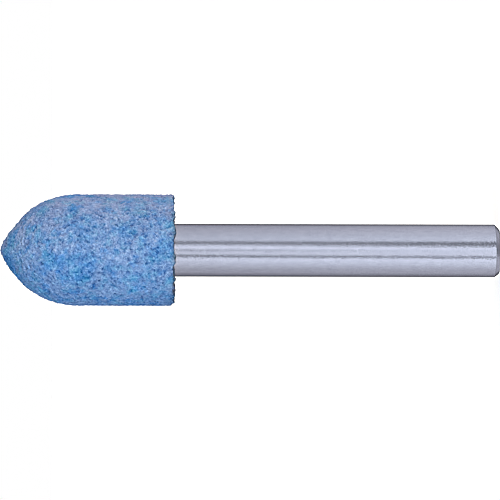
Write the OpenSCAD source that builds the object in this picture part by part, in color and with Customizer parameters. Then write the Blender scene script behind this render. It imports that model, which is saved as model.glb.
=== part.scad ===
// Mounted point: an ogive abrasive head cemented on a round steel shank.
// Millimetres. The axis of rotation is Z. The shank's free end stands on
// Z = 0 and the head's tip points up.

/* [Shank] */
// Diameter that the collet grips
shank_d = 6; // [5.8:0.05:6.2]
// Length of shank that shows behind the head
shank_free_len = 37.2; // [25:0.1:80]
// Chamfer on the free end, at 45 degrees
shank_chamfer = 0.6; // [0.2:0.05:1.2]

/* [Tang inside the head] */
// Diameter of the tang, turned down from the shank
tang_d = 5.6; // [5:0.05:5.7]
// Depth of the shank's end inside the head
tang_len = 11; // [10:0.1:12]
// Length of full shank diameter that enters the hole before the tang begins
seat_len = 0.15; // [0.1:0.05:1]
// Number of turned grooves that key the cement
groove_count = 3; // [1:1:3]
// Width of each groove at its mouth
groove_w = 1.2; // [0.8:0.1:1.6]
// Depth of each groove
groove_depth = 0.35; // [0.1:0.05:0.35]
// Distance from one groove to the next
groove_pitch = 2.6; // [2:0.1:2.6]

/* [Abrasive head] */
// Diameter of the cylindrical part
head_d = 12.7; // [11:0.1:16]
// Length of the head from its back face to its tip
head_len = 19.7; // [18:0.1:40]
// Radius of the arc that forms the pointed nose
nose_arc_r = 9.5; // [8.5:0.1:10.5]
// Width of the small flat that blunts the tip
tip_flat_d = 0.3; // [0.1:0.05:1.2]
// Break on the edge round the back face
edge_break = 0.2; // [0.05:0.05:0.6]

/* [Cement joint] */
// Diameter of the blind hole in the head
hole_d = 6.4; // [6.35:0.05:7]
// Cement left under the tang's end
end_gap = 0.25; // [0.1:0.05:0.6]
// Included angle of the hole's conical bottom
hole_point_angle = 118; // [90:1:140]
// How far the cement lies below the back face
cement_recess = 0.1; // [0.05:0.05:0.4]

/* [Hidden] */
$fn = 128;

shank_r = shank_d / 2;
tang_r = tang_d / 2;
head_r = head_d / 2;
hole_r = hole_d / 2;

// Heights along the axis
back_z = shank_free_len;
seat_z = back_z + seat_len;
tang_z = back_z + tang_len;
hole_z = tang_z + end_gap;
hole_point_h = hole_r / tan(hole_point_angle / 2);

// The nose: an arc, tangent to the cylinder at the shoulder, that runs in to
// the small flat at the tip
arc_x = head_r - nose_arc_r;
nose_len = sqrt(pow(nose_arc_r, 2) - pow(tip_flat_d / 2 - arc_x, 2));
shoulder_z = back_z + head_len - nose_len;

// Foot of groove number i on the tang
function groove_z(i) = back_z + 2.2 + i * groove_pitch;

// Outline of the shank, from its free end to the end of its tang
shank_points = concat(
    [
        [0, 0],
        [shank_r - shank_chamfer, 0],
        [shank_r, shank_chamfer],
        [shank_r, seat_z],
        [tang_r, seat_z + shank_r - tang_r],
    ],
    [
        for (i = [0 : groove_count - 1], p = [
            [tang_r, 0],
            [tang_r - groove_depth, groove_depth],
            [tang_r - groove_depth, groove_w - groove_depth],
            [tang_r, groove_w],
        ]) [p[0], groove_z(i) + p[1]]
    ],
    [
        [tang_r, tang_z - 0.4],
        [tang_r - 0.4, tang_z],
        [0, tang_z],
    ]
);

// Outline of the blind hole, starting at height z
function hole_points(z) = [
    [0, z],
    [hole_r, z],
    [hole_r, hole_z],
    [0, hole_z + hole_point_h],
];

module shank() {
    color([0.69, 0.71, 0.78])
        rotate_extrude()
            polygon(shank_points);
}

module bonding_cement() {
    color([0.55, 0.56, 0.56])
        rotate_extrude()
            difference() {
                polygon(hole_points(back_z + cement_recess));
                polygon(shank_points);
            }
}

module nose_profile() {
    intersection() {
        translate([arc_x, shoulder_z]) circle(nose_arc_r);
        translate([0, shoulder_z]) square([nose_arc_r, nose_len]);
    }
}

module head_profile() {
    polygon([
        [0, back_z],
        [head_r - edge_break, back_z],
        [head_r, back_z + edge_break],
        [head_r, shoulder_z],
        [0, shoulder_z],
    ]);
    nose_profile();
}

module abrasive_head() {
    color([0.42, 0.58, 0.78])
        rotate_extrude()
            difference() {
                head_profile();
                polygon(hole_points(back_z - 1));
            }
}

abrasive_head();
bonding_cement();
shank();
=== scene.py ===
import itertools
import math

import bpy
import numpy as np
from mathutils import Matrix, Vector


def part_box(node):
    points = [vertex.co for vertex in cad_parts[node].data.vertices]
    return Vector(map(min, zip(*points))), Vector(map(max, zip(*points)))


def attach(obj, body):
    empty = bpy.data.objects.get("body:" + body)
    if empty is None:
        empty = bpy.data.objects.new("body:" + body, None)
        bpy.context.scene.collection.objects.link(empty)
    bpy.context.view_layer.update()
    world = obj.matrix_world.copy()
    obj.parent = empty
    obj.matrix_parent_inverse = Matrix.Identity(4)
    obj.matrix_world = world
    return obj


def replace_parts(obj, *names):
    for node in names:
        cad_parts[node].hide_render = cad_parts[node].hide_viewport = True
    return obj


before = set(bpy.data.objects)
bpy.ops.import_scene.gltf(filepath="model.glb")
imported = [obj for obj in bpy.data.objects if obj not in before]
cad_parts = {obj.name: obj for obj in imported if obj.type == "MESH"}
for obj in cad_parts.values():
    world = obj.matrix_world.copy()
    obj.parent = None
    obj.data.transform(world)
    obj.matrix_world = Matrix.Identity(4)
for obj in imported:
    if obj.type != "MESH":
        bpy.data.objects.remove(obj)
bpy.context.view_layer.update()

# A mounted point: an ogive head of blue bonded abrasive on a ground steel shank.
# Lengths are in millimetres until a mesh is made, and in metres from there on.

MM = 0.001

head_low, head_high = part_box("abrasive_head")
shank_low, shank_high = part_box("shank")
BACK = head_low.z / MM          # plane of the head's back face
TIP = head_high.z / MM          # the head's tip
HEAD_R = head_high.x / MM
SHANK_R = shank_high.x / MM
TANG_END = shank_high.z / MM
CHAMFER = 0.6
TANG_R = 2.8
HOLE_R = 3.2
HOLE_END = TANG_END + 0.25
HOLE_POINT = HOLE_R / math.tan(math.radians(59))
NOSE_R = 9.5
RECESS = 0.1
TAU = 2 * math.pi


# ---------------------------------------------------------------- noise

def lattice(cell, seed):
    """A fixed random number from 0 to 1 for every whole-numbered cell."""
    c = cell.astype(np.int64).astype(np.uint32)
    h = (c[..., 0] * np.uint32(0x8DA6B343)) ^ (c[..., 1] * np.uint32(0xD8163841)) ^ (c[..., 2] * np.uint32(0xCB1AB31F))
    h = h ^ np.uint32((seed * 0x9E3779B1 + 0x7F4A7C15) & 0xFFFFFFFF)
    h = (h ^ (h >> np.uint32(16))) * np.uint32(0x7FEB352D)
    h = (h ^ (h >> np.uint32(15))) * np.uint32(0x846CA68B)
    h = h ^ (h >> np.uint32(16))
    return h.astype(np.float64) / 4294967296.0


def noise(p, size, seed, octaves=1):
    """Smooth gradient noise, about -1 to 1, with features of that size."""
    total, weight, amount = np.zeros(len(p)), 0.0, 1.0
    for o in range(octaves):
        q = p / size * 2**o + 17.3 * (o + 1)
        base = np.floor(q)
        f = q - base
        w = f * f * f * (f * (f * 6 - 15) + 10)
        value = np.zeros(len(p))
        for corner in itertools.product((0, 1), repeat=3):
            c = np.array(corner)
            cell = base + c
            g = np.stack([lattice(cell, seed * 31 + o * 7 + k) for k in range(3)], -1) * 2 - 1
            dot = (g * (f - c)).sum(-1)
            blend = np.prod(np.where(c == 1, w, 1 - w), -1)
            value += blend * dot
        total += amount * value * 1.6
        weight += amount
        amount *= 0.55
    return total / weight


def grains(p, size, seed):
    """Cells of a random packing: distance to the nearest seed and to the next, in cell sizes, the nearest seed's place, and four random numbers of its own."""
    q = p / size
    base = np.floor(q)
    near = np.full(len(p), 9.0)
    after = np.full(len(p), 9.0)
    place = np.zeros_like(q)
    owner = np.zeros_like(q)
    for step in itertools.product((-1, 0, 1), repeat=3):
        cell = base + np.array(step)
        site = cell + np.stack([lattice(cell, seed + k) for k in (1, 2, 3)], -1)
        d = np.sqrt(((site - q) ** 2).sum(-1))
        closer = d < near
        after = np.where(closer, near, np.minimum(after, d))
        near = np.where(closer, d, near)
        place[closer] = site[closer]
        owner[closer] = cell[closer]
    own = np.stack([lattice(owner, seed + k) for k in (11, 12, 13, 14)], -1)
    return near, after, place * size, own


def smooth(x, low, high):
    t = np.clip((x - low) / (high - low), 0, 1)
    return t * t * (3 - 2 * t)


# ---------------------------------------------------------------- meshes

def make_mesh(name, points, faces, corners_uv, fields):
    """A smooth triangle mesh in metres, with its map and its fields of one number a vertex."""
    me = bpy.data.meshes.new(name)
    faces = np.asarray(faces, np.int32)
    me.vertices.add(len(points))
    me.vertices.foreach_set("co", (np.asarray(points) * MM).astype(np.float32).ravel())
    me.loops.add(faces.size)
    me.loops.foreach_set("vertex_index", faces.ravel())
    me.polygons.add(len(faces))
    me.polygons.foreach_set("loop_start", np.arange(0, faces.size, 3, dtype=np.int32))
    me.update(calc_edges=True)
    me.polygons.foreach_set("use_smooth", np.ones(len(faces), bool))
    layer = me.uv_layers.new(name="OFBake")
    layer.uv.foreach_set("vector", np.asarray(corners_uv, np.float32).ravel())
    for key, values in fields.items():
        me.attributes.new(key, "FLOAT", "POINT").data.foreach_set("value", np.asarray(values, np.float32))
    me.validate()
    ob = bpy.data.objects.new(name, me)
    bpy.context.scene.collection.objects.link(ob)
    return ob


def zip_rings(rings, spans):
    """Triangles between neighbouring rings of points, whatever their counts. A ring is (first index, angles), and a single point has one angle. spans gives each ring's height on the map. Returns faces and each corner's place on the map."""
    faces, uvs = [], []
    for (i, a), (j, b), va, vb in zip(rings, rings[1:], spans, spans[1:]):
        na, nb = len(a), len(b)
        if na == 1 or nb == 1:
            ring, first, point, vr, vp, up = (b, j, i, vb, va, False) if na == 1 else (a, i, j, va, vb, True)
            n = len(ring)
            for k in range(n):
                u0, u1 = ring[k], ring[k + 1] if k + 1 < n else ring[0] + TAU
                q0, q1 = first + k, first + (k + 1) % n
                um = (u0 + u1) / 2
                if up:
                    faces.append((q0, q1, point)); uvs += [(u0, vr), (u1, vr), (um, vp)]
                else:
                    faces.append((q1, q0, point)); uvs += [(u1, vr), (u0, vr), (um, vp)]
            continue
        ea = np.append(a, a[0] + TAU)
        eb = np.append(b, b[0] + TAU)
        x = y = 0
        while x < na or y < nb:
            if y >= nb or (x < na and ea[x + 1] <= eb[y + 1]):
                faces.append((i + x, i + (x + 1) % na, j + y % nb))
                uvs += [(ea[x], va), (ea[x + 1], va), (eb[y], vb)]
                x += 1
            else:
                faces.append((i + x % na, j + (y + 1) % nb, j + y))
                uvs += [(ea[x], va), (eb[y + 1], vb), (eb[y], vb)]
                y += 1
    uvs = np.array(uvs)
    uvs[:, 0] = 0.015 + 0.97 * uvs[:, 0] / TAU
    return np.array(faces, np.int32), uvs


def outward(points, faces, uvs):
    """Turns every face over if the solid came out inside out."""
    p = np.asarray(points)
    a, b, c = p[faces[:, 0]], p[faces[:, 1]], p[faces[:, 2]]
    if (np.cross(a, b) * c).sum() < 0:
        faces = faces[:, ::-1].copy()
        uvs = uvs.reshape(-1, 3, 2)[:, ::-1].reshape(-1, 2).copy()
    return faces, uvs


def turned(name, profile, around, fields=None, moved=None):
    """A solid of revolution from (radius, height) points that start and end on the axis."""
    points, rings, spans, length = [], [], [], 0.0
    last = None
    for r, z in profile:
        if last is not None:
            length += math.hypot(r - last[0], z - last[1])
        last = (r, z)
        spans.append(length)
        n = 1 if r < 1e-9 else around
        angle = np.arange(n) / n * TAU
        rings.append((len(points), angle))
        points += [(r * math.cos(t), r * math.sin(t), z) for t in angle]
    points = np.array(points)
    spans = 0.01 + 0.98 * np.array(spans) / length
    faces, uvs = zip_rings(rings, spans)
    faces, uvs = outward(points, faces, uvs)
    if moved is not None:
        points = moved(points)
    return make_mesh(name, points, faces, uvs, fields or {})


# ---------------------------------------------------------------- abrasive head

STEP = 0.1022                   # distance between neighbouring vertices
EDGE = 0.4                      # zone that the worn back edge takes up
arc_x = HEAD_R - NOSE_R
tip_flat = 0.15
nose_len = math.sqrt(NOSE_R**2 - (tip_flat - arc_x) ** 2)
shoulder = TIP - nose_len


def head_rings():
    """The head's skin from the tip to the bottom of its hole, ring by ring: (zone, radius, height or turn, distance along the skin)."""
    row = STEP * math.sqrt(3) / 2
    out, s = [], 0.0
    blend_r = 0.3
    start = math.acos((blend_r - arc_x) / NOSE_R)
    for k in range(int(blend_r / row)):
        out.append(("tip", k * row, 0.0, k * row))
    s = blend_r
    n = int(round(NOSE_R * start / row))
    for k in range(n):
        turn = start * (1 - k / n)
        out.append(("nose", 0.0, turn, s + NOSE_R * start * k / n))
    s += NOSE_R * start
    length = shoulder - (BACK + EDGE)
    n = int(round(length / row))
    for k in range(n):
        out.append(("side", HEAD_R, shoulder - length * k / n, s + length * k / n))
    s += length
    n = 9
    for k in range(n):
        out.append(("edge", 0.0, math.pi / 2 * k / n, s + 0.75 * k / n))
    s += 0.75
    length = HEAD_R - EDGE - (HOLE_R + 0.06)
    n = int(round(length / row))
    for k in range(n + 1):
        out.append(("back", HEAD_R - EDGE - length * k / n, BACK, s + length * k / n))
    s += length
    for r, z, d in ((HOLE_R + 0.015, BACK + 0.02, 0.06), (HOLE_R, BACK + 0.07, 0.12), (HOLE_R, BACK + RECESS, 0.2)):
        out.append(("hole", r, z, s + d))
    s += 0.2
    for z in (BACK + 0.5, BACK + 2, BACK + 5, HOLE_END - 2, HOLE_END):
        out.append(("wall", HOLE_R, z, s + (z - BACK - RECESS)))
    s += HOLE_END - BACK - RECESS
    for k in (0.5, 1.0):
        out.append(("cone", HOLE_R * (1 - k), HOLE_END + HOLE_POINT * k, s + 3.7 * k))
    return out


def build_head():
    rng = np.random.default_rng(20)
    spots, normals, rings, spans, zones, backness = [], [], [], [], [], []
    start = math.acos((0.3 - arc_x) / NOSE_R)
    z_blend = shoulder + NOSE_R * math.sin(start)
    bend = math.cos(start) / math.sin(start) / 0.6
    for index, (zone, r, h, s) in enumerate(head_rings()):
        if zone == "nose":
            r_here = arc_x + NOSE_R * math.cos(h)
        elif zone == "edge":
            r_here = HEAD_R - EDGE / 2
        else:
            r_here = r
        coarse = 96 if zone in ("wall", "cone") else None
        n = 1 if r_here < 1e-9 else coarse or max(6, int(round(TAU * r_here / STEP)))
        angle = (np.arange(n) + (0.5 if index % 2 else 0.0)) / n * TAU
        if n > 6 and coarse is None and zone != "hole":
            angle = angle + rng.uniform(-0.24, 0.24, n) * TAU / n
        jog = rng.uniform(-0.24, 0.24, n) * STEP if zone in ("nose", "side", "back") else np.zeros(n)
        c, d = np.cos(angle), np.sin(angle)
        if zone == "tip":
            rr, zz = np.full(n, r), np.full(n, z_blend + bend * (0.09 - r * r) - 0.012)
            nr, nz = np.full(n, 2 * bend * r), np.ones(n)
        elif zone == "nose":
            turn = h + jog / NOSE_R
            rr, zz = arc_x + NOSE_R * np.cos(turn), shoulder + NOSE_R * np.sin(turn)
            nr, nz = np.cos(turn), np.sin(turn)
        elif zone == "side":
            rr, zz = np.full(n, r), h + jog
            nr, nz = np.ones(n), np.zeros(n)
        elif zone == "edge":
            # The back edge is crisp on one flank and worn round on the other.
            worn = np.sqrt(smooth(-c, -1.0, 1.0))
            power = 5.6 - 3.3 * worn
            x, y = math.cos(h), math.sin(h)
            scale = (x**power + y**power) ** (-1 / power)
            x, y = x * scale, y * scale
            rr, zz = HEAD_R - EDGE + EDGE * x, BACK + EDGE - EDGE * y
            nr, nz = np.maximum(x, 1e-6) ** (power - 1), -np.maximum(y, 1e-6) ** (power - 1)
        elif zone == "back":
            rr, zz = r + jog, np.full(n, h)
            nr, nz = np.zeros(n), -np.ones(n)
        elif zone == "hole":
            rr, zz = np.full(n, r), np.full(n, h)
            nr, nz = np.full(n, -0.5), np.full(n, -0.5)
        else:
            rr, zz = np.full(n, r), np.full(n, h)
            nr, nz = -np.ones(n), np.zeros(n)
        size = np.maximum(np.hypot(nr, nz), 1e-9)
        nr, nz = nr / size, nz / size
        rings.append((sum(len(x) for x in spots), angle))
        spans.append(s)
        spots.append(np.stack([rr * c, rr * d, zz], -1))
        normals.append(np.stack([nr * c, nr * d, nz], -1))
        zones.append(np.full(n, {"tip": 0, "nose": 0, "side": 0, "edge": 1, "back": 2, "hole": 3, "wall": 4, "cone": 4}[zone]))
        backness.append(-nz if zone in ("edge", "back", "hole") else np.zeros(n))
    p, nrm, zone, backness = map(np.concatenate, (spots, normals, zones, backness))
    spans = np.array(spans)
    spans = 0.01 + 0.98 * spans / spans[-1]
    faces, uvs = zip_rings(rings, spans)
    faces, uvs = outward(p, faces, uvs)

    # Grit: a packing of sharp grains, dressed nearly flush, with open pores between them.
    warp = np.stack([noise(p, 0.5, 40 + k, 2) for k in range(3)], -1)
    near, after, place, own = grains(p + 0.06 * warp, 0.30, 100)
    gap = after - near
    tilt = ((own[:, 1:] * 2 - 1) * (p + 0.06 * warp - place)).sum(-1)
    top = 0.050 * (own[:, 0] - 0.5) + 0.40 * tilt
    seam = np.exp(-((gap / 0.16) ** 2))
    near_p, after_p, place_p, own_p = grains(p + 0.10 * warp, 0.54, 300)
    radius = 0.18 + 0.11 * own_p[:, 0]
    ragged = 1 + 0.40 * noise(p, 0.17, 71)
    hole = smooth(1 - near_p * 0.54 / (radius * ragged), 0.0, 0.55) * (own_p[:, 1] < 0.95)
    fine = noise(p, 0.16, 81, 2)
    swell = noise(p, 0.8, 85, 3)
    relief = top - 0.040 * seam - (0.05 + 0.08 * own_p[:, 2]) * hole + 0.022 * fine
    skin = relief + 0.035 * swell - 0.044

    # The nose is worn a little straighter than its arc, more on one flank.
    flank = p[:, 0] / np.maximum(np.hypot(p[:, 0], p[:, 1]), 1e-9)
    from_tip = TIP - p[:, 2]
    skin = skin - (0.13 + 0.05 * flank) * np.exp(-(((from_tip - 1.7) / 1.1) ** 2)) * (zone == 0)

    # The back face was pressed, not dressed: coarser lumps, with a ragged rim.
    flat = p * np.array([1.0, 1.0, 0.0])
    ahead = np.maximum(p[:, 2] - BACK, 0)
    outer = (zone < 3) & (np.hypot(p[:, 0], p[:, 1]) > HEAD_R - 0.9)
    chip = smooth(noise(flat, 0.62, 97, 2), -0.10, 0.30) * outer * (1 - 0.9 * smooth(flank, 0.55, 0.95))
    # Painted shade: dark dashes along the outer rim, where the rounding lies under the grains, and patches over the
    # back face and hole.
    back_shade = np.where(outer, smooth(0.05 + 0.19 * chip + 0.06 * noise(p, 0.22, 98) - ahead, -0.05, 0.05), zone >= 2)
    back_shade = back_shade * (0.35 + 0.65 * smooth(noise(flat, 0.55, 94, 2), -0.28, 0.16)) * (1 - 0.9 * smooth(flank, 0.55, 0.9) * outer)
    # Painted shade along the back edge of the skin, weaker on the +X flank, where the light reaches it.
    rim_shade = np.exp(-ahead / 0.36) * (zone < 3) * (1 - 0.75 * smooth(flank, 0.55, 0.9))
    backness = smooth(backness, 0.15, 0.85)
    near_b, after_b, place_b, own_b = grains(p + 0.12 * warp, 0.62, 500)
    lump = 0.14 * (0.55 - near_b) + 0.05 * (own_b[:, 0] - 0.5) + 0.15 * noise(flat, 0.36, 91, 2)
    on_rim = flat * (HEAD_R / np.maximum(np.hypot(p[:, 0], p[:, 1]), 1e-9))[:, None]
    lump = lump + 0.42 * noise(on_rim, 0.95, 93, 2) * smooth(np.hypot(p[:, 0], p[:, 1]), HEAD_R - 3.0, HEAD_R - 1.2)
    rough = lump + 0.5 * relief - 0.125
    offset = skin * (1 - backness) + rough * backness
    offset = offset - np.where(zone < 2, 0.07 * chip * smooth(ahead, 0.45, 0.10), 0)
    offset = np.where(zone == 3, 0.25 * offset, offset)
    offset = np.where(zone == 4, 0.0, offset)
    p = p + nrm * offset[:, None]
    limit = np.hypot(p[:, 0], p[:, 1])
    over = np.minimum(1, HEAD_R / np.maximum(limit, 1e-9))
    p[:, 0] *= over
    p[:, 1] *= over
    p[:, 2] = np.minimum(p[:, 2], TIP)

    # Painted shade: darker in the pores and in the seams between grains.
    pore_and_seam_shade = np.clip(0.80 * hole + 0.40 * seam * (0.4 + own[:, 1]), 0, 1)
    # Painted shade by height: hollows darker and grain tops lighter, kept in the field named relief.
    shade = np.clip(0.55 + 4.0 * (relief + 0.12 * hole), 0, 1)
    fields = {"pore_and_seam_shade": pore_and_seam_shade, "grain": own[:, 3], "relief": shade, "back": back_shade, "rim_shade": rim_shade}
    return make_mesh("grit_head", p, faces, uvs, fields)


head = build_head()
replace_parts(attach(head, "root"), "abrasive_head")


# ---------------------------------------------------------------- shank

def rounded(points, radius, own, steps=4):
    """The same outline with its inner corners rounded, some by a radius of their own."""
    out = [points[0]]
    for i, (a, b, c) in enumerate(zip(points, points[1:], points[2:]), 1):
        a, b, c = Vector(a), Vector(b), Vector(c)
        u, v = (a - b), (c - b)
        r = min(own.get(i, radius), 0.45 * u.length, 0.45 * v.length)
        u.normalize(), v.normalize()
        first, last = b + u * r, b + v * r
        hold = b + u * min(r + 0.03, 0.5 * (a - b).length)
        out.append((hold.x, hold.y))
        for k in range(steps + 1):
            t = k / steps
            q = first * (1 - t) ** 2 + b * 2 * t * (1 - t) + last * t**2
            out.append((q.x, q.y))
        hold = b + v * min(r + 0.03, 0.5 * (c - b).length)
        out.append((hold.x, hold.y))
    out.append(points[-1])
    return out


def dense(points, longest):
    """The same outline with no step longer than that."""
    out = [points[0]]
    for a, b in zip(points, points[1:]):
        n = max(1, math.ceil(math.hypot(b[0] - a[0], b[1] - a[1]) / longest))
        out += [(a[0] + (b[0] - a[0]) * k / n, a[1] + (b[1] - a[1]) * k / n) for k in range(1, n + 1)]
    return out


SEAT = BACK + 0.15
GROOVES = [BACK + 2.2 + 2.6 * k for k in range(3)]
tang = [(TANG_R, SEAT + SHANK_R - TANG_R)]
for z in GROOVES:
    tang += [(TANG_R, z), (TANG_R - 0.35, z + 0.35), (TANG_R - 0.35, z + 0.85), (TANG_R, z + 1.2)]
tang += [(TANG_R, TANG_END - 0.4), (TANG_R - 0.4, TANG_END), (0.0, TANG_END)]

shank_line = [(0.0, 0.0), (SHANK_R - CHAMFER, 0.0), (SHANK_R, CHAMFER), (SHANK_R, SEAT)] + tang


def hand_chamfer(points):
    """The chamfer on the free end was ground by hand, deeper on one flank than on the other."""
    r = np.hypot(points[:, 0], points[:, 1])
    side = points[:, 0] / np.maximum(r, 1e-9)
    inner = SHANK_R - CHAMFER
    near_edge = np.clip(1 - np.abs(points[:, 2] - CHAMFER) / 0.55, 0, 1) * (r > inner)
    near_end = np.clip(1 - np.abs(r - inner) / 0.55, 0, 1) * (points[:, 2] < CHAMFER)
    wider = 1 + 0.17 * smooth(-side, -0.2, 1.0) * near_end / np.maximum(r, 1e-9)
    points[:, 2] += 0.025 * side * near_edge
    points[:, 0] *= wider
    points[:, 1] *= wider
    return points


shank = turned("ground_shank", dense(rounded(shank_line, 0.12, {1: 0.38, 2: 0.08}), 0.6), 256, moved=hand_chamfer)
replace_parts(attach(shank, "root"), "shank")


# ---------------------------------------------------------------- cement

ring = BACK + RECESS
cement_line = [(0.0, HOLE_END + HOLE_POINT), (HOLE_R, HOLE_END), (HOLE_R, ring - 0.04)]
cement_line += [(HOLE_R - 0.03, ring), (HOLE_R - 0.1, ring + 0.03), (SHANK_R + 0.03, ring), (SHANK_R, ring - 0.05)]
cement_line += [(SHANK_R, SEAT)] + tang


def uneven(points):
    """The set cement's open ring is slightly lumpy."""
    r = np.hypot(points[:, 0], points[:, 1])
    open_ring = (points[:, 2] < ring + 0.06) & (r > SHANK_R + 0.005) & (r < HOLE_R - 0.005)
    points[:, 2] += np.where(open_ring, 0.04 * noise(points, 0.5, 61, 2), 0)
    return points


cement = turned("set_cement", dense(cement_line, 0.8), 192, moved=uneven)
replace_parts(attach(cement, "root"), "bonding_cement")


# ---------------------------------------------------------------- materials

def linear(r, g, b):
    """A colour given as it looks on screen, from 0 to 255."""
    one = lambda x: x / 12.92 if x <= 0.04045 else ((x + 0.055) / 1.055) ** 2.4
    return tuple(one(x / 255) for x in (r, g, b)) + (1.0,)


class Nodes:
    """Short forms for building a node tree."""

    def __init__(self, tree):
        self.tree = tree
        tree.nodes.clear()

    def add(self, kind, inputs=None, **settings):
        n = self.tree.nodes.new(kind)
        for key, value in settings.items():
            setattr(n, key, value)
        for key, value in (inputs or {}).items():
            self.put(n.inputs[key], value)
        return n

    def put(self, socket, value):
        if isinstance(value, bpy.types.NodeSocket):
            self.tree.links.new(value, socket)
        elif isinstance(value, bpy.types.Node):
            self.tree.links.new(value.outputs[0], socket)
        else:
            socket.default_value = value

    def math(self, operation, a, b=0.0, c=0.0, clamp=False):
        n = self.add("ShaderNodeMath", operation=operation, use_clamp=clamp)
        for socket, value in zip(n.inputs, (a, b, c)):
            self.put(socket, value)
        return n.outputs[0]

    def noise(self, vector, scale, detail=2.0, rough=0.5, distortion=0.0):
        return self.add("ShaderNodeTexNoise", {"Vector": vector, "Scale": scale, "Detail": detail, "Roughness": rough, "Distortion": distortion}).outputs[0]

    def span(self, value, low, high, to_low=0.0, to_high=1.0, kind="LINEAR"):
        return self.add("ShaderNodeMapRange", {"Value": value, "From Min": low, "From Max": high, "To Min": to_low, "To Max": to_high}, interpolation_type=kind).outputs[0]

    def ramp(self, value, stops, kind="LINEAR"):
        n = self.add("ShaderNodeValToRGB", {"Fac": value})
        n.color_ramp.interpolation = kind
        e = n.color_ramp.elements
        while len(e) > 1:
            e.remove(e[-1])
        e[0].position, e[0].color = stops[0]
        for position, colour in stops[1:]:
            e.new(position).color = colour
        return n.outputs[0]

    def mix(self, factor, a, b, blend="MIX"):
        n = self.add("ShaderNodeMix", data_type="RGBA", blend_type=blend, clamp_result=False)
        self.put(n.inputs[0], factor)
        self.put(n.inputs[6], a)
        self.put(n.inputs[7], b)
        return n.outputs[2]

    def field(self, name):
        return self.add("ShaderNodeAttribute", attribute_name=name, attribute_type="GEOMETRY").outputs["Fac"]

    def place(self, scale=(1, 1, 1)):
        co = self.add("ShaderNodeTexCoord").outputs["Object"]
        if scale == (1, 1, 1):
            return co
        return self.add("ShaderNodeMapping", {"Vector": co, "Scale": scale}).outputs[0]


def material(name):
    m = bpy.data.materials.new(name)
    m.use_nodes = True
    return m, Nodes(m.node_tree)


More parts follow.
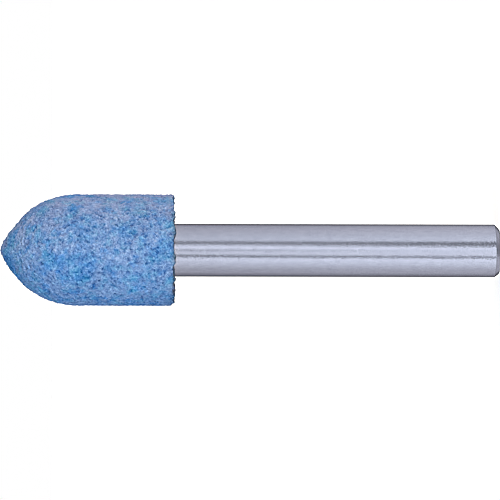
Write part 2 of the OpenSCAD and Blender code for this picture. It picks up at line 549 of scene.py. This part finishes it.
def abrasive_material():
    m, n = material("blue_abrasive")
    at = n.place()
    pore_and_seam_shade, grain, relief, back, rim_shade = (n.field(x) for x in ("pore_and_seam_shade", "grain", "relief", "back", "rim_shade"))
    speck = n.noise(at, 4600, 2.0, 0.6)
    coarse = n.noise(at, 2600, 2.0, 0.5)
    # Painted highlight: pale broken strokes along the grains' edges.
    shift = n.add("ShaderNodeTexNoise", {"Vector": at, "Scale": 2600.0, "Detail": 2.0}).outputs[1]
    shift = n.add("ShaderNodeVectorMath", {0: shift, 1: (0.5, 0.5, 0.5)}, operation="SUBTRACT").outputs[0]
    bent = n.add("ShaderNodeVectorMath", {0: shift, 1: (0.00028, 0.00028, 0.00028), 2: at}, operation="MULTIPLY_ADD").outputs[0]
    cells = n.add("ShaderNodeTexVoronoi", {"Vector": bent, "Scale": 2150.0}, feature="DISTANCE_TO_EDGE").outputs["Distance"]
    painted_glint = n.span(cells, 0.02, 0.14, 1.0, 0.0, "SMOOTHSTEP")
    painted_glint = n.math("MULTIPLY", painted_glint, n.span(n.noise(at, 2100, 1.0, 0.5), 0.42, 0.62))
    # Lightness: painted shade makes the gaps and pores deep blue and the grain tops pale, over the grit's own tone.
    tone = n.math("MULTIPLY_ADD", pore_and_seam_shade, -0.335, 0.56)
    cloud = n.noise(n.add("ShaderNodeMapping", {"Vector": at, "Location": (0.192, -0.24, -0.158)}).outputs[0], 260, 2.0, 0.5)
    tone = n.math("MULTIPLY_ADD", n.math("SUBTRACT", cloud, 0.5), 0.23, tone)
    tone = n.math("MULTIPLY_ADD", n.math("SUBTRACT", grain, 0.5), 0.125, tone)
    # Painted shade by height from the relief field: hollows darker, grain tops lighter.
    tone = n.math("MULTIPLY_ADD", n.math("SUBTRACT", relief, 0.5), 0.15, tone)
    tone = n.math("MULTIPLY_ADD", n.math("SUBTRACT", speck, 0.5), 0.34, tone)
    tone = n.math("MULTIPLY_ADD", n.math("SUBTRACT", coarse, 0.5), 0.225, tone)
    # Painted highlight along the grains' edges.
    tone = n.math("MULTIPLY_ADD", painted_glint, 0.192, tone)
    tone = n.math("ADD", tone, n.span(speck, 0.30, 0.45, -0.14, 0.0))
    # The texture's contrast is lower on the +X flank.
    flank_soften = n.span(n.add("ShaderNodeSeparateXYZ", {"Vector": at}).outputs[0], 0.0038, 0.0056, 0.0, 0.32)
    tone = n.math("MULTIPLY_ADD", n.math("SUBTRACT", 0.60, tone), flank_soften, tone)
    azure = n.ramp(tone, [(0.0, linear(20, 80, 140)), (0.28, linear(58, 113, 177)), (0.55, linear(90, 143, 202)), (0.8, linear(121, 170, 226)), (1.0, linear(152, 197, 246))])
    lavender = n.ramp(tone, [(0.0, linear(59, 93, 141)), (0.28, linear(99, 128, 178)), (0.55, linear(131, 158, 204)), (0.8, linear(161, 186, 227)), (1.0, linear(189, 211, 246))])
    teal = n.ramp(tone, [(0.0, linear(14, 88, 140)), (0.28, linear(50, 126, 178)), (0.55, linear(94, 160, 204)), (0.8, linear(132, 188, 222)), (1.0, linear(170, 212, 236))])
    patch = n.noise(n.add("ShaderNodeMapping", {"Vector": at, "Location": (-0.156, 0.145, 0.105)}, name="patch_place").outputs[0], 400, 3.0, 0.55)
    patch = n.math("ADD", patch, n.span(n.add("ShaderNodeSeparateXYZ", {"Vector": at}).outputs[0], -0.0018, -0.0042, 0.0, 0.045))
    colour = n.mix(n.span(patch, 0.29, 0.545), azure, lavender)
    deep = n.ramp(tone, [(0.0, linear(8, 74, 140)), (0.28, linear(40, 108, 178)), (0.55, linear(74, 139, 205)), (0.8, linear(110, 168, 230)), (1.0, linear(148, 196, 250))])
    vein = n.noise(n.add("ShaderNodeMapping", {"Vector": at, "Location": (-0.032, -0.003, 0.218)}, name="vein_place").outputs[0], 760, 2.0, 0.55)
    colour = n.mix(n.span(vein, 0.53, 0.78), colour, deep)
    spot = n.noise(n.add("ShaderNodeMapping", {"Vector": at, "Location": (-0.122, -0.011, -0.014)}, name="spot_place").outputs[0], 760, 3.0, 0.62)
    colour = n.mix(n.span(spot, 0.48, 0.82), colour, teal)
    # Painted shade: the skin is darker along the back edge, and the pressed back face darker still.
    colour = n.mix(rim_shade, colour, n.mix(1.0, colour, (0.92, 0.68, 0.55, 1.0), "MULTIPLY"))
    # Painted shade on the back face and in dashes along its rim.
    dark = n.mix(1.0, colour, (0.88, 0.86, 0.84, 1.0), "MULTIPLY")
    colour = n.mix(back, colour, dark)
    rough = n.span(speck, 0.3, 0.7, 0.98, 0.78)
    bump = n.add("ShaderNodeBump", {"Strength": 0.5, "Distance": 0.00004, "Height": n.math("ADD", speck, n.math("MULTIPLY", n.noise(at, 14000, 2.0, 0.6), 0.5))})
    shader = n.add("ShaderNodeBsdfPrincipled", {"Base Color": colour, "Roughness": rough, "Specular IOR Level": 0.25, "Normal": bump.outputs[0]})
    n.add("ShaderNodeOutputMaterial", {"Surface": shader.outputs[0]})
    return m


def steel_material():
    m, n = material("ground_steel")
    at = n.place()
    # Fine lines run round the shank, and a faint mottle lies over them.
    lines = n.noise(n.place((300, 300, 8000)), 1.0, 1.0, 0.5)
    mottle = n.noise(at, 7600, 1.0, 0.6)
    cloud = n.noise(n.place((2400, 2400, 900)), 1.0, 2.0, 0.6)
    broad = n.noise(at, 420, 2.0, 0.5)
    tone = n.math("MULTIPLY_ADD", cloud, 0.5, n.math("MULTIPLY_ADD", mottle, 0.4, n.math("MULTIPLY", lines, 0.1)))
    # The blue-lilac tint of this grey is partly painted: it stands in for the bluish light the steel reflects.
    colour = n.ramp(tone, [(0.3, (0.59, 0.61, 0.71, 1)), (0.7, (0.69, 0.71, 0.81, 1))])
    rough = n.span(n.math("MULTIPLY_ADD", cloud, 0.5, n.math("MULTIPLY", broad, 0.5)), 0.3, 0.7, 0.10, 0.15)
    # The ground skin tilts a little from spot to spot, more so towards the free end.
    grit = n.add("ShaderNodeTexNoise", {"Vector": at, "Scale": 6400.0, "Detail": 2.0, "Roughness": 0.62}).outputs[1]
    lean = n.add("ShaderNodeVectorMath", {0: grit, 1: (0.5, 0.5, 0.5)}, operation="SUBTRACT").outputs[0]
    height = n.add("ShaderNodeSeparateXYZ", {"Vector": at}).outputs[2]
    lean = n.add("ShaderNodeVectorMath", {0: lean, "Scale": n.span(height, 0.0, 0.037, 0.27, 0.21)}, operation="SCALE").outputs[0]
    lean = n.add("ShaderNodeVectorMath", {0: lean, 1: (1.0, 1.0, 0.2)}, operation="MULTIPLY").outputs[0]
    facing = n.add("ShaderNodeNewGeometry").outputs["Normal"]
    facing = n.add("ShaderNodeVectorMath", {0: facing, 1: lean}, operation="ADD").outputs[0]
    facing = n.add("ShaderNodeVectorMath", {0: facing}, operation="NORMALIZE").outputs[0]
    bump = n.add("ShaderNodeBump", {"Strength": 0.5, "Distance": 0.000012, "Height": mottle, "Normal": facing})
    shader = n.add("ShaderNodeBsdfPrincipled", {"Base Color": colour, "Metallic": 1.0, "Roughness": rough, "Normal": bump.outputs[0]})
    n.add("ShaderNodeOutputMaterial", {"Surface": shader.outputs[0]})
    return m


def cement_material():
    m, n = material("grey_cement")
    at = n.place()
    cloud = n.noise(at, 2500, 3.0, 0.6)
    colour = n.ramp(cloud, [(0.3, linear(66, 68, 70)), (0.55, linear(104, 106, 106)), (0.75, linear(140, 140, 136))])
    rough = n.span(cloud, 0.3, 0.7, 0.9, 0.6)
    bump = n.add("ShaderNodeBump", {"Strength": 0.6, "Distance": 0.00005, "Height": n.noise(at, 7000, 3.0, 0.6)})
    shader = n.add("ShaderNodeBsdfPrincipled", {"Base Color": colour, "Roughness": rough, "Normal": bump.outputs[0]})
    n.add("ShaderNodeOutputMaterial", {"Surface": shader.outputs[0]})
    return m


head.data.materials.append(abrasive_material())
shank.data.materials.append(steel_material())
cement.data.materials.append(cement_material())


# ---------------------------------------------------------------- floor and light

def build_floor():
    me = bpy.data.meshes.new("floor")
    n, reach = 96, 4.0
    me.from_pydata([(reach * math.cos(TAU * k / n), reach * math.sin(TAU * k / n), -0.00002) for k in range(n)], [], [list(range(n))])
    ob = bpy.data.objects.new("floor", me)
    bpy.context.scene.collection.objects.link(ob)
    m, nodes = material("pale_floor")
    diffuse = nodes.add("ShaderNodeBsdfDiffuse", {"Color": (0.82, 0.82, 0.82, 1)})
    glow = nodes.add("ShaderNodeEmission", {"Color": (1, 1, 1, 1), "Strength": 0.66})
    both = nodes.add("ShaderNodeAddShader")
    nodes.put(both.inputs[0], diffuse)
    nodes.put(both.inputs[1], glow)
    nodes.add("ShaderNodeOutputMaterial", {"Surface": both.outputs[0]})
    me.materials.append(m)
    ob.visible_glossy = False
    ob.visible_diffuse = False
    return ob


def build_light():
    """A white tent with soft panels all round. The steel mirrors the panels, with narrow gaps between them."""
    w = bpy.data.worlds.new("studio")
    bpy.context.scene.world = w
    w.use_nodes = True
    n = Nodes(w.node_tree)
    w.cycles.sampling_method = "NONE"
    d = n.add("ShaderNodeTexCoord").outputs["Generated"]
    xyz = n.add("ShaderNodeSeparateXYZ", {"Vector": d})
    x, y, z = xyz.outputs
    turn = n.math("MULTIPLY", n.math("ARCTAN2", x, n.math("MULTIPLY", y, -1.0)), 180 / math.pi)

    grey = lambda v: (v, v, v, 1.0)
    panel = [(-180, .16), (-150, .21), (-115, .48), (-90, .54), (-64, .75), (-40, .93), (-24, .90), (-10, .83), (0, .89), (14, 1.01), (22, 1.00), (42, .76), (64, .68), (114, .55), (132, .47), (148, .26), (180, .16)]
    mirror = n.ramp(n.span(turn, -180, 180), [((a + 180) / 360, grey(v)) for a, v in panel])
    along = n.span(z, -0.038, -0.106)        # 0 behind the head, 1 at the shank's end
    lean = lambda a, b: n.span(along, 0.0, 1.0, a, b)
    bow = lambda a, b, c: n.math("ADD", n.span(along, 0.0, 0.25, a, b), n.span(along, 0.25, 1.0, 0.0, c - b))

    def gap(at, half, soft, depth):
        away = n.math("SUBTRACT", n.math("ABSOLUTE", n.math("SUBTRACT", turn, at)), half)
        return n.math("SUBTRACT", 1.0, n.math("MULTIPLY", n.math("MINIMUM", depth, 1.0), n.span(away, soft, -soft, 0.0, 1.0, "SMOOTHSTEP")))

    # Two gaps run the whole length, and a third closes half-way.
    lines = (
        gap(bow(32.9, 30.1, 27.4), bow(7.3, 8.3, 13.4), 2.6, bow(0.52, 0.36, 0.63)),
        gap(bow(33.7, 31.1, 29.0), bow(3.2, 3.2, 4.4), 2.2, bow(0.04, 0.05, 0.46)),
        gap(41.0, 3.0, 6.0, lean(0.13, 0.05)),
        gap(lean(-23.8, -30.0), lean(5.6, 5.5), 1.6, bow(0.64, 0.48, 0.57)),
        gap(0.0, 5.0, 1.6, n.span(along, 0.0, 0.5, 0.46, 0.0)),
        gap(14.0, 6.0, 5.0, lean(-0.06, 0.06)),
    )
    run = n.ramp(n.span(z, 0.10, -0.40), [(0.0, grey(.57)), (0.412, grey(1.11)), (0.48, grey(1.17)), (0.60, grey(1.02)), (1.0, grey(.75))])
    for shade in lines + (run,):
        mirror = n.mix(1.0, mirror, shade, "MULTIPLY")
    # Straight below, the tent is darker on one flank.
    below = n.ramp(n.span(x, -1, 1), [(0.0, grey(.40)), (0.2, grey(.46)), (0.3, grey(.53)), (0.38, grey(.476)), (0.45, grey(.31)), (0.5, grey(.275)), (0.55, grey(.285)), (0.64, grey(.32)), (0.71, grey(.46)), (1.0, grey(.40))])
    mirror = n.mix(n.span(z, -0.40, -0.62, 0.0, 1.0, "SMOOTHSTEP"), mirror, below)
    mirror = n.mix(1.0, mirror, (0.965, 1.0, 1.085, 1), "MULTIPLY")
    mirror = n.mix(n.span(n.math("ABSOLUTE", turn), 60, 110), mirror, n.mix(1.0, mirror, (1.0, 0.955, 0.95, 1), "MULTIPLY"))

    front = n.ramp(n.span(y, -1, 1), [(0.0, grey(1.0)), (0.25, grey(1.02)), (0.5, grey(0.72)), (0.7, grey(0.64)), (1.0, grey(0.86))])
    level = n.ramp(n.span(z, -1, 1), [(0.0, grey(0.10)), (0.2, grey(0.15)), (0.375, grey(1.52)), (0.5, grey(1.86)), (0.625, grey(1.42)), (0.8, grey(0.44)), (1.0, grey(0.15))])
    tint = n.ramp(n.span(x, -1, 1), [(0.0, (0.44, 0.56, 0.78, 1)), (0.15, (1.04, 1.26, 1.43, 1)), (0.325, (1.03, 1.27, 1.31, 1)), (0.5, (1.05, 1.275, 1.245, 1)), (0.675, (1.21, 1.28, 1.22, 1)), (0.85, (1.41, 1.19, 1.09, 1)), (1.0, (1.65, 1.10, 0.95, 1))])
    soft = n.mix(1.0, tint, n.mix(1.0, front, level, "MULTIPLY"), "MULTIPLY")
    # Behind one flank the tent is in shade.
    behind = n.math("MULTIPLY", n.span(y, -0.02, 0.16, 0.0, 1.0), n.span(y, 0.55, 0.85, 1.0, 0.0))
    shade = n.math("MULTIPLY_ADD", n.math("MULTIPLY", behind, n.span(x, -0.05, -0.4)), -0.94, 1.0)
    soft = n.mix(1.0, soft, shade, "MULTIPLY")
    warm = n.mix(1.0, soft, (1.30, 0.98, 0.88, 1), "MULTIPLY")
    soft = n.mix(n.math("MULTIPLY", behind, n.span(x, 0.15, 0.5)), soft, warm)

    path = n.add("ShaderNodeLightPath")
    light = n.mix(path.outputs["Is Glossy Ray"], soft, mirror)
    light = n.mix(path.outputs["Is Camera Ray"], light, (1, 1, 1, 1))
    back = n.add("ShaderNodeBackground", {"Color": light, "Strength": 1.0})
    n.add("ShaderNodeOutputWorld", {"Surface": back.outputs[0]})


build_floor()
build_light()


# ---------------------------------------------------------------- camera

def build_camera():
    """Looks at the point's side from slightly ahead of it, turned so that the tip is on the left. The picture is 500 pixels square and the point spans it."""
    far, scale, centre = 540.0, 8.794, 28.490
    data = bpy.data.cameras.new("camera")
    data.sensor_fit = "HORIZONTAL"
    data.sensor_width = 36.0
    data.lens = 36.0 * far * scale / 500
    data.clip_start, data.clip_end = 0.01, 20.0
    ob = bpy.data.objects.new("camera", data)
    bpy.context.scene.collection.objects.link(ob)
    yaw, roll = math.radians(3.12), math.radians(0.135)
    back = Vector((0, -math.cos(yaw), math.sin(yaw)))
    right0, up0 = Vector((0, -math.sin(yaw), -math.cos(yaw))), Vector((1, 0, 0))
    up = up0 * math.cos(roll) - right0 * math.sin(roll)
    right = right0 * math.cos(roll) + up0 * math.sin(roll)
    turn = Matrix((right, up, back)).transposed().to_4x4()
    ob.matrix_world = Matrix.Translation(Vector((0.04, 0, centre)) * MM + back * far * MM) @ turn
    bpy.context.scene.camera = ob


build_camera()
bpy.context.scene.view_settings.view_transform = "Standard"
bpy.context.scene.view_settings.look = "None"


def build_finish():
    """A light sharpening of the finished picture: a fine one, and a wider one that darkens the outline."""
    scene = bpy.context.scene
    scene.cycles.filter_width = 1.3
    scene.use_nodes = True
    tree = scene.node_tree
    tree.nodes.clear()
    source = tree.nodes.new("CompositorNodeRLayers")
    crisp = tree.nodes.new("CompositorNodeFilter")
    crisp.filter_type = "SHARPEN_DIAMOND"
    crisp.inputs["Fac"].default_value = 0.125
    even, plain = tree.nodes.new("CompositorNodeGamma"), tree.nodes.new("CompositorNodeGamma")
    even.inputs["Gamma"].default_value = 1 / 2.2
    plain.inputs["Gamma"].default_value = 2.2
    out = tree.nodes.new("CompositorNodeComposite")
    blur = tree.nodes.new("CompositorNodeBlur")
    blur.filter_type = "GAUSS"
    blur.size_x = blur.size_y = 9
    amount = 0.22

    def combine(blend, a, b):
        n = tree.nodes.new("CompositorNodeMixRGB")
        n.blend_type = blend
        n.inputs[0].default_value = 1.0
        tree.links.new(a.outputs["Image"], n.inputs[1])
        if isinstance(b, float):
            n.inputs[2].default_value = (b, b, b, 1.0)
        else:
            tree.links.new(b.outputs["Image"], n.inputs[2])
        return n

    for a, b in ((source, even), (even, blur)):
        tree.links.new(a.outputs["Image"], b.inputs["Image"])
    wide = combine("SUBTRACT", combine("MULTIPLY", even, 1 + amount), combine("MULTIPLY", blur, amount))
    for a, b in ((wide, crisp), (crisp, plain), (plain, out)):
        tree.links.new(a.outputs["Image"], b.inputs["Image"])


build_finish()
